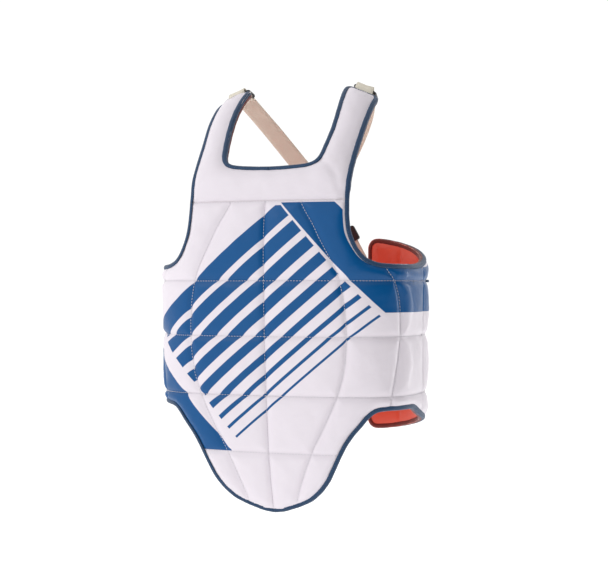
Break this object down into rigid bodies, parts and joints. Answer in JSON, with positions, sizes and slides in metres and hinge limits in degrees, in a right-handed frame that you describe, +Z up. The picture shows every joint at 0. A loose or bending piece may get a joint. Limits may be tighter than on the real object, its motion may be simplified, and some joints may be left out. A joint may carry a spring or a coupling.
{
  "type": "martial arts chest protector",
  "caption": "Reversible padded trunk protector with curved front, shoulder straps, wrap-round side wings and a webbing back closure with a side-release buckle.",
  "frame": {"origin": "middle of the wearer's chest, halfway between front and back and midway between the sides, level with the upper quilting seam", "axes": "+Z up, the front faces -Y, +X is the wearer's left"},
  "size_m": [0.3566, 0.2418, 0.5688],
  "materials": {
    "foam": "closed-cell foam sheet",
    "face_vinyl": "glossy printed vinyl, blue and white",
    "reverse_vinyl": "glossy red vinyl, the reverse side",
    "face_binding": "woven tape, dark navy",
    "reverse_binding": "woven tape, dark red-brown",
    "patch_vinyl": "sewn patch, dark navy",
    "webbing": "flat cream webbing",
    "black_plastic": "moulded, satin black"
  },
  "bodies": {
    "front": {"front_foam": "foam", "front_cover_middle": "face_vinyl", "front_cover_side_left": "face_vinyl", "front_cover_side_right": "face_vinyl", "front_lining": "reverse_vinyl", "hem_binding_outer": "face_binding", "hem_binding_inner": "reverse_binding", "yoke_foam": "foam", "yoke_cover": "face_vinyl", "yoke_lining": "reverse_vinyl", "neck_binding_outer": "face_binding", "neck_binding_inner": "reverse_binding", "armhole_binding_outer_left": "face_binding", "armhole_binding_outer_right": "face_binding", "armhole_binding_inner_left": "reverse_binding", "armhole_binding_inner_right": "reverse_binding", "back_patch": "patch_vinyl", "buckle_female": "black_plastic", "back_webbing_upper_left": "webbing", "back_webbing_upper_right": "webbing", "back_webbing_lower_left": "webbing", "back_webbing_lower_right": "webbing", "waist_webbing_left": "webbing", "waist_webbing_right": "webbing"},
    "left_wing": {"wing_foam_left": "foam", "wing_cover_left": "face_vinyl", "wing_lining_left": "reverse_vinyl", "wing_binding_outer_left": "face_binding", "wing_binding_inner_left": "reverse_binding"},
    "left_strap": {"strap_foam_left": "foam", "strap_cover_left": "face_vinyl", "strap_lining_left": "reverse_vinyl", "strap_binding_outer_left": "face_binding", "strap_binding_inner_left": "reverse_binding", "ring_tab_left": "webbing"},
    "left_ring": {"shoulder_ring_left": "black_plastic", "webbing_fold_left": "webbing"},
    "left_adjuster": {"slide_adjuster_left": "black_plastic"},
    "right_wing": {"wing_foam_right": "foam", "wing_cover_right": "face_vinyl", "wing_lining_right": "reverse_vinyl", "wing_binding_outer_right": "face_binding", "wing_binding_inner_right": "reverse_binding"},
    "right_strap": {"strap_foam_right": "foam", "strap_cover_right": "face_vinyl", "strap_lining_right": "reverse_vinyl", "strap_binding_outer_right": "face_binding", "strap_binding_inner_right": "reverse_binding", "ring_tab_right": "webbing"},
    "right_ring": {"shoulder_ring_right": "black_plastic", "webbing_fold_right": "webbing"},
    "right_adjuster": {"slide_adjuster_right": "black_plastic"},
    "buckle_tongue": {"buckle_male": "black_plastic"}
  },
  "joints": [
    {"name": "left_wing_fold", "type": "hinge", "parent": "front", "child": "left_wing", "pos_m": [0.163, -0.0725, -0.06], "axis": [0, 0, -1], "range_deg": [0, 20], "deforming": ["back_webbing_lower_left", "waist_webbing_left"]},
    {"name": "left_strap_fold", "type": "hinge", "parent": "front", "child": "left_strap", "pos_m": [0.07, -0.0787, 0.1802], "axis": [0.9153, 0, -0.4027], "range_deg": [0, 25], "deforming": ["back_webbing_upper_left"]},
    {"name": "left_ring_pivot", "type": "hinge", "parent": "left_strap", "child": "left_ring", "pos_m": [0.0915, 0.0256, 0.2618], "axis": [0.9153, 0, -0.4027], "range_deg": [-6, 10], "deforming": ["back_webbing_upper_left"]},
    {"name": "left_adjuster_slide", "type": "slide", "parent": "front", "child": "left_adjuster", "axis": [0.4891, -0.0241, -0.8719], "range_m": [-0.01, 0.015]},
    {"name": "right_wing_fold", "type": "hinge", "parent": "front", "child": "right_wing", "pos_m": [-0.163, -0.0725, -0.06], "axis": [0, 0, 1], "range_deg": [0, 20], "deforming": ["back_webbing_lower_right", "waist_webbing_right"]},
    {"name": "right_strap_fold", "type": "hinge", "parent": "front", "child": "right_strap", "pos_m": [-0.07, -0.0787, 0.1802], "axis": [0.9153, 0, 0.4027], "range_deg": [0, 25], "deforming": ["back_webbing_upper_right"]},
    {"name": "right_ring_pivot", "type": "hinge", "parent": "right_strap", "child": "right_ring", "pos_m": [-0.0915, 0.0256, 0.2618], "axis": [0.9153, 0, 0.4027], "range_deg": [-6, 10], "deforming": ["back_webbing_upper_right"]},
    {"name": "right_adjuster_slide", "type": "slide", "parent": "front", "child": "right_adjuster", "axis": [-0.4891, -0.0241, -0.8719], "range_m": [-0.01, 0.015]},
    {"name": "buckle_release", "type": "slide", "parent": "front", "child": "buckle_tongue", "axis": [-1, 0, 0], "range_m": [0, 0.028], "deforming": ["waist_webbing_right"]}
  ]
}
